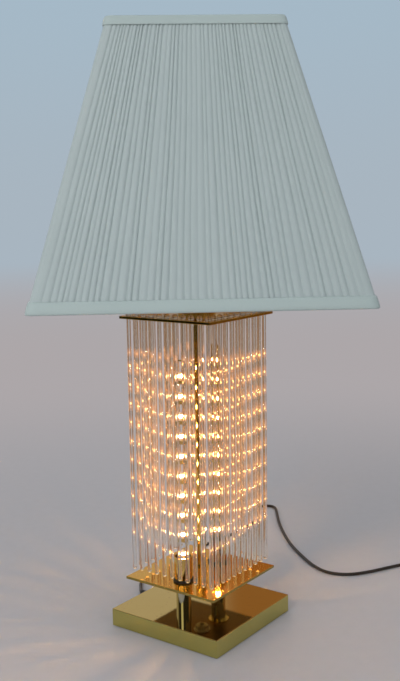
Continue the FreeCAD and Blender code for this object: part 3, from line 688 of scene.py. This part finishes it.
def make_rods(glass):
    """Glass rods with a melted bead at the head and a drop at the foot, a row to each side."""
    bead_z = ROD_HIGH - BEAD_RADIUS
    drop_z = ROD_LOW + DROP_RADIUS
    profile = ball_profile(DROP_RADIUS, drop_z, -BALL_END, DROP_OPENING, steps=9)
    for height in (drop_z + DROP_RUN, (drop_z + bead_z) / 2, bead_z - BEAD_RUN):
        profile.append((ROD_RADIUS, height))
    profile += ball_profile(BEAD_RADIUS, bead_z, BEAD_OPENING, BALL_END, steps=11)
    steps = [-ROD_LINE + k * ROD_PITCH for k in range(RODS_PER_SIDE)]
    rows = {
        "front": [(-s, -ROD_LINE, 0) for s in steps],
        "left": [(-ROD_LINE, s, 0) for s in steps],
        "back": [(s, ROD_LINE, 0) for s in steps],
        "right": [(ROD_LINE, -s, 0) for s in steps],
    }
    for row, places in rows.items():
        rods = repeated(drawn_up("rod", profile, sides=32), "glass_rods_" + row, places)
        wear(rods, glass, "rod_glass", "rod_row_" + row, "rods_" + row)


def make_lamps():
    """Two strings of miniature lamps, each a small domed tube on its holder."""
    glass = lit_glass()
    glow = filament_glow()
    glow_low = FILAMENT_HEIGHT - FILAMENT_LENGTH / 2
    glow_high = FILAMENT_HEIGHT + FILAMENT_LENGTH / 2
    profile = in_metres(LAMP_FOOT) + [(LAMP_RADIUS, glow_low), (LAMP_RADIUS, glow_high)]
    profile += ball_profile(LAMP_RADIUS, LAMP_HEIGHT - LAMP_RADIUS, 0, BALL_END, steps=6)
    for side, (low, high) in LAMP_STRINGS.items():
        x = (low.x + high.x) / 2
        places = [(x, 0, low.z + k * LAMP_PITCH) for k in range(LAMPS_PER_STRING)]
        lamps = repeated(drawn_up("lamp", profile, sides=20), "mini_lamps_" + side, places)
        wear(lamps, glass, "lamp_glass", "stand", "lamps_" + side)
        lamps.data.materials.append(glow)
        for face in lamps.data.polygons:
            face.material_index = glow_low < (face.center.z - low.z) % LAMP_PITCH < glow_high


def relief_profile():
    """Flange on the wall, then ribs that grow thinner and a rim close to the cord."""
    profile = in_metres(RELIEF_FLANGE)
    rib = RELIEF_LENGTH / RELIEF_RIBS
    for k in range(RELIEF_RIBS):
        foot = RELIEF_START + RELIEF_LENGTH * k / RELIEF_RIBS
        radius = RELIEF_RADIUS - RELIEF_TAPER * k / RELIEF_RIBS
        profile += [(radius, foot), (radius, foot + rib * 0.55),
                    (radius - 0.55 * MM, foot + rib * 0.65), (radius - 0.6 * MM, foot + rib * 0.95)]
    end = RELIEF_START + RELIEF_LENGTH
    return profile + [(2.5 * MM, end), (2.2 * MM, end + 0.2 * MM)]


def bend_along(piece, path, start):
    """Moves a piece that was made along Z onto a path whose first place has this height."""
    reach = [start]
    for a, b in zip(path, path[1:]):
        reach.append(reach[-1] + (b - a).length)
    for vertex in piece.data.vertices:
        k = max(i for i in range(len(reach) - 1) if reach[i] <= vertex.co.z or i == 0)
        way = (path[k + 1] - path[k]).normalized()
        share = (vertex.co.z - reach[k]) / (reach[k + 1] - reach[k])
        right = way.cross(Vector((0, 0, 1))).normalized()
        up = right.cross(way)
        vertex.co = path[k].lerp(path[k + 1], share) + right * vertex.co.x + up * vertex.co.y


def make_relief(line, resin):
    """Ribbed relief that carries the cord out through the base's back wall and tapers onto it."""
    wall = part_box("base_shell")[1].y
    relief = drawn_up("strain_relief", relief_profile(), sides=24)
    into_wall = [Vector((0, wall - RELIEF_ROOT, line[0].z)), Vector((0, wall, line[0].z))]
    bend_along(relief, into_wall + line, -RELIEF_ROOT)
    choose(relief)
    face_outwards()
    return wear(relief, resin, "black_plastic", "stand", "cord_bushing")


def shade_half(z):
    """Half the side of the shade's square at a height."""
    share = (z - SHADE_LOW) / (SHADE_HIGH - SHADE_LOW)
    return BOTTOM_SIDE / 2 + (TOP_SIDE - BOTTOM_SIDE) / 2 * share


def shade_height(share, margin):
    """Height at a share of the way up the shade, less a margin at both edges."""
    return SHADE_LOW + margin + (SHADE_HIGH - SHADE_LOW - 2 * margin) * share


def rounded_square(share, half, bend):
    """Place at a share of the way round a square with rounded corners, and the way out there."""
    straight = 2 * (half - bend)
    curve = math.pi / 2 * bend
    side, along = divmod((share % 1.0) * 4 * (straight + curve), straight + curve)
    if along < straight:
        out = Vector((0, -1, 0))
        place = Vector((along - straight / 2, -half, 0))
    else:
        angle = (along - straight) / bend
        out = Vector((math.sin(angle), -math.cos(angle), 0))
        place = Vector((straight / 2, bend - half, 0)) + out * bend
    turn = Matrix.Rotation(side * math.pi / 2 + SHADE_TURN, 3, "Z")
    return turn @ place, turn @ out


def noise_around(share, radius, height):
    """Noise that meets itself after a whole turn. The larger the radius, the finer it is."""
    turn = 2 * math.pi * share
    return noise.noise(Vector((radius * math.cos(turn), radius * math.sin(turn), height)))


def wrapped(name, columns, rows, place_at):
    """Sheet all round the shade: a grid whose points go where place_at puts them, sewn up."""
    clear_selection()
    bpy.ops.mesh.primitive_grid_add(x_subdivisions=columns, y_subdivisions=rows, size=2)
    piece = bpy.context.object
    uv = piece.data.uv_layers.active or piece.data.uv_layers.new(name="UVMap")
    grid = [((v.co.x + 1) / 2, (v.co.y + 1) / 2) for v in piece.data.vertices]
    for vertex, (u, v) in zip(piece.data.vertices, grid):
        vertex.co = place_at(round(u * columns), round(v * rows))
    for loop in piece.data.loops:
        u, v = grid[loop.vertex_index]
        uv.data[loop.index].uv = (u * 4 * BOTTOM_SIDE, v * BOTTOM_SIDE)
    face_outwards(seam=0.01 * MM)
    bpy.ops.object.shade_smooth()
    return settle(name)


def thicken(piece, thickness):
    """Gives a sheet its thickness, towards the lamp's axis."""
    choose(piece)
    solid = piece.modifiers.new("thickness", "SOLIDIFY")
    solid.thickness = thickness
    solid.offset = -1
    bpy.ops.object.modifier_apply(modifier=solid.name)


def pleat_columns():
    """(share of the way round, depth) along the folds of all pleats, no two alike."""
    dice = random.Random(48)
    widths = [dice.uniform(0.72, 1.28) for _ in range(4 * PLEATS_PER_SIDE)]
    depths = [dice.uniform(0.45, 1.0) for _ in widths]
    around = sum(widths)
    columns = []
    start = 0.0
    for width, depth, following in zip(widths, depths, depths[1:] + depths[:1]):
        for share, fold in PLEAT_FOLD:
            level = depth * (1 - share) + following * share
            columns.append(((start + share * width) / around, fold * level))
        start += width
    return columns


def make_cloth():
    """Pleated cloth, whose pleats are drawn flat round the corners of the frame."""
    columns = pleat_columns()

    def place_at(column, row):
        share, depth = columns[column % len(columns)]
        up = row / CLOTH_ROWS
        z = shade_height(up, CLOTH_MARGIN)
        half = shade_half(z)
        drift = noise_around(share, 9, 2.2 * up) * PLEAT_DRIFT
        ripple = noise_around(share, 70, 5 * up) * PLEAT_RIPPLE
        place, out = rounded_square(share + drift, half, CLOTH_BEND)
        cornered = min(1.0, max(0.0, (place.length / half - CORNER_FROM) / CORNER_RUN))
        tapered = 0.75 + 0.25 * half / shade_half(SHADE_LOW)
        inset = PLEAT_DEPTH * tapered * depth * (1 + ripple) * (1 - CORNER_FLATTENING * cornered)
        return Vector((place.x, place.y, z)) - out * inset

    weave = woven("pleated_weave", tint(0.60, 0.665, 0.645), tint(0.52, 0.59, 0.575),
                  thread=0.7 * MM, sheen=0.25, crumple=0.3)
    cloth = wrapped("pleated_cloth", len(columns), CLOTH_ROWS, place_at)
    thicken(cloth, CLOTH_THICKNESS)
    wear(cloth, weave, "pleated_cloth", "shade",
         "shade_front", "shade_right", "shade_back", "shade_left")


def make_lining():
    """Thin smooth lining behind the pleats."""
    def place_at(column, row):
        z = shade_height(row / LINING_ROWS, LINING_MARGIN)
        place, out = rounded_square(column / LINING_COLUMNS, shade_half(z), LINING_BEND)
        return Vector((place.x, place.y, z)) - out * LINING_DEPTH

    weave = woven("lining_weave", tint(0.68, 0.655, 0.59), tint(0.62, 0.595, 0.53),
                  thread=0.9 * MM, sheen=0.1, crumple=0.1)
    lining = wrapped("shade_lining", LINING_COLUMNS, LINING_ROWS, place_at)
    thicken(lining, LINING_THICKNESS)
    wear(lining, weave, "pleated_cloth", "shade")


def make_band(name, edge, profile, weave):
    """Band folded round one edge of the shade."""
    def place_at(column, row):
        out_by, up_by = profile[row]
        z = edge + up_by * MM
        share = column / BAND_STEPS
        if out_by > 1:
            out_by += min(0.0, noise_around(share, 14, edge * 9) * 0.22)
        place, out = rounded_square(share, shade_half(z), CLOTH_BEND)
        return Vector((place.x, place.y, z)) + out * out_by * MM

    band = wrapped("band_" + name, BAND_STEPS, len(profile) - 1, place_at)
    thicken(band, BAND_THICKNESS)
    wear(band, weave, "trim_cloth", "shade", "trim_" + name)
    8 * shade_half(edge)


def make_shade():
    """Pleated cloth over its lining, with a folded band round the bottom and the top edge."""
    make_cloth()
    make_lining()
    weave = woven("band_weave", tint(0.60, 0.685, 0.65), tint(0.53, 0.615, 0.59),
                  thread=0.6 * MM, sheen=0.2, crumple=0.6)
    make_band("bottom", SHADE_LOW, BOTTOM_BAND, weave)
    make_band("top", SHADE_HIGH, TOP_BAND, weave)


def ray(f, kind):
    return f.add("ShaderNodeLightPath", {}, f"Is {kind} Ray")


def looked_at(f):
    """1 for what the camera sees, straight or in metal and glass, and 0 for what gives light."""
    seen = ray(f, "Camera")
    for kind in ("Glossy", "Transmission"):
        seen = seen.math("MAXIMUM", ray(f, kind))
    return seen


def warm_panels(f, place):
    """Share of the warm panels right and left of the backdrop. Metal sees the right one alone."""
    way = f.vector("NORMALIZE", f.level(place))
    ahead = f.towards(way, LOOK_WAY)
    right = f.towards(way, RIGHT_WAY)
    in_glass = right.math("ABSOLUTE").sharpened(0.3, 0.42) * ahead.sharpened(0.35, 0.5)
    in_metal = right.sharpened(-0.01, 0.04) * ahead.sharpened(-0.2, 0.0)
    return in_glass * ray(f, "Transmission") + in_metal * ray(f, "Glossy")


def make_floor():
    """Pale paper that fades into the colours of the backdrop, with the card and panels mirrored."""
    clear_selection()
    bpy.ops.mesh.primitive_circle_add(vertices=96, radius=FLOOR_RADIUS, location=(0, 0, 0),
                                      fill_type="NGON")
    floor = settle("floor")
    f = new_finish("floor")
    place = f.place()
    away = f.vector("LENGTH", place, output="Value")
    paper = f.mix(f.clouds(place, 60, detail=4), tint(0.62, 0.585, 0.595), tint(0.66, 0.62, 0.63))
    near = f.add("ShaderNodeBsdfPrincipled", {"Base Color": paper, "Roughness": 0.7})
    card = f.towards(place, CARD_WAY).sharpened(0.3, 0.7) * ray(f, "Glossy")
    panel = warm_panels(f, place) * away.sharpened(0.2, 0.4)
    beyond = f.mix(away.sharpened(2.0, 8.0), BACKDROP_LOW, BACKDROP_MIDDLE)
    beyond = f.mix(panel, f.mix(card, beyond, CARD_COLOUR), PANEL_COLOUR)
    far = f.add("ShaderNodeEmission", {"Color": beyond})
    fade = away.sharpened(0.35, 1.6) * looked_at(f)
    fade = fade.math("MAXIMUM", card.math("MAXIMUM", panel))
    shader = f.add("ShaderNodeMixShader", {0: fade, 1: near, 2: far})
    f.add("ShaderNodeOutputMaterial", {"Surface": shader})
    floor.data.materials.append(f.owner)


def make_world():
    """Backdrop, and for brass and glass a dark card, warm panels and a small gleam."""
    bpy.context.scene.world = bpy.data.worlds.new("studio")
    f = Finish(bpy.context.scene.world)
    way = f.coordinates("Generated")
    up = f.axis(way, "Z")
    backdrop = f.mix(up.sharpened(-0.02, 0.25), BACKDROP_MIDDLE, BACKDROP_TOP)
    card = f.towards(way, CARD_WAY).sharpened(-0.35, 0.25) * (1.0 - up.sharpened(0.55, 0.8))
    panel = warm_panels(f, way) * (1.0 - up.sharpened(0.5, 0.7))
    gleam = f.towards(way, GLEAM_WAY).sharpened(0.955, 0.98)
    mirrored = f.mix(panel, f.mix(card, BACKDROP_MIRRORED, CARD_COLOUR), PANEL_COLOUR)
    mirrored = f.mix(gleam, mirrored, GLEAM_COLOUR)
    shown = f.mix(ray(f, "Glossy"), f.mix(panel, backdrop, PANEL_COLOUR), mirrored)
    light = f.add("ShaderNodeBackground", {"Color": SKY_COLOUR, "Strength": SKY_STRENGTH})
    seen = f.add("ShaderNodeBackground", {"Color": shown, "Strength": 1.0})
    both = f.add("ShaderNodeMixShader", {0: looked_at(f), 1: light, 2: seen})
    f.add("ShaderNodeOutputWorld", {"Surface": both})


def softbox(name, place, size, power, colour, through_glass=True):
    """Square light that is aimed at the lamp and mirrored in nothing."""
    data = bpy.data.lights.new(name, "AREA")
    data.shape = "SQUARE"
    data.size = size
    data.energy = power
    data.color = colour
    lamp = bpy.data.objects.new(name, data)
    lamp.location = place
    lamp.rotation_euler = (LIGHT_AIM - Vector(place)).to_track_quat("-Z", "Y").to_euler()
    lamp.visible_glossy = False
    lamp.visible_transmission = through_glass
    bpy.context.collection.objects.link(lamp)


def make_studio():
    """Pale floor and backdrop, with soft light from the left, the front and behind."""
    make_floor()
    make_world()
    softbox("key", (-1.75, -0.1, 1.2), size=1.2, power=12.5, colour=(0.97, 0.99, 1.0))
    softbox("fill", (0.2, -2.2, 1.5), size=1.6, power=5.2, colour=(0.90, 0.95, 1.0))
    softbox("back", (1.7, 1.5, 1.5), size=1.8, power=9, colour=(1.0, 0.97, 0.95),
            through_glass=False)
    bpy.context.scene.view_settings.view_transform = "Standard"


make_camera()
resin = moulded_resin()
cord, cord_line = make_cord(cord_vinyl())
relief = make_relief(cord_line, resin)
make_rods(drawn_glass())
make_lamps()
make_shade()

# The edge colours are painted reflections on the upright walls: olive on the base, near black on
# the plates.
base_brass = sheet_brass("base_brass", haze=0.08,
                         face=(tint(0.72, 0.52, 0.155), tint(0.78, 0.58, 0.195)),
                         edge=(tint(0.50, 0.48, 0.14), tint(0.62, 0.55, 0.18)))
plate_brass = sheet_brass("plate_brass", haze=0.4,
                          face=(tint(0.93, 0.50, 0.07), tint(0.97, 0.56, 0.10)),
                          edge=(tint(0.26, 0.23, 0.07), tint(0.36, 0.30, 0.09)))
dress(base_brass, "brass", "base_shell")
dress(plate_brass, "brass", "lower_plate", "upper_plate")
dress(plated_brass(), "brass", "post_left", "post_right")
dress(turned_brass(), "brass", "post_rings", "centre_tube", "cup_left", "cup_right", "vase_cap",
      "neck", "finial", "sleeve_left", "sleeve_right", "socket_cap", "socket_shell")
dress(wire_brass(), "brass", "harp", "saddle", "rails_left", "rails_right", "holders_left",
      "holders_right", "socket_contact", "plug_blades")
dress(zinc_steel(), "steel", "centre_pipe", "pipe_nut", "pipe_washer", "post_nuts", "post_pipes")
dress(cast_iron(), "iron", "base_weight")
dress(green_felt(), "felt", "base_pad")
dress(frosted_glass(), "bulb_glass", "bulb_glass")
dress(screw_metal(), "bulb_metal", "bulb_base")
dress(resin, "black_plastic", "insulator_left", "insulator_right", "filler_left", "filler_right",
      "socket_insert", "plug_body")
dress(knob_plastic(), "knob_plastic", "switch_knob")
dress(wire_paint(), "frame_wire", "frame_ring_top", "frame_ring_bottom", "frame_ribs", "spider")

make_studio()
clear_selection()
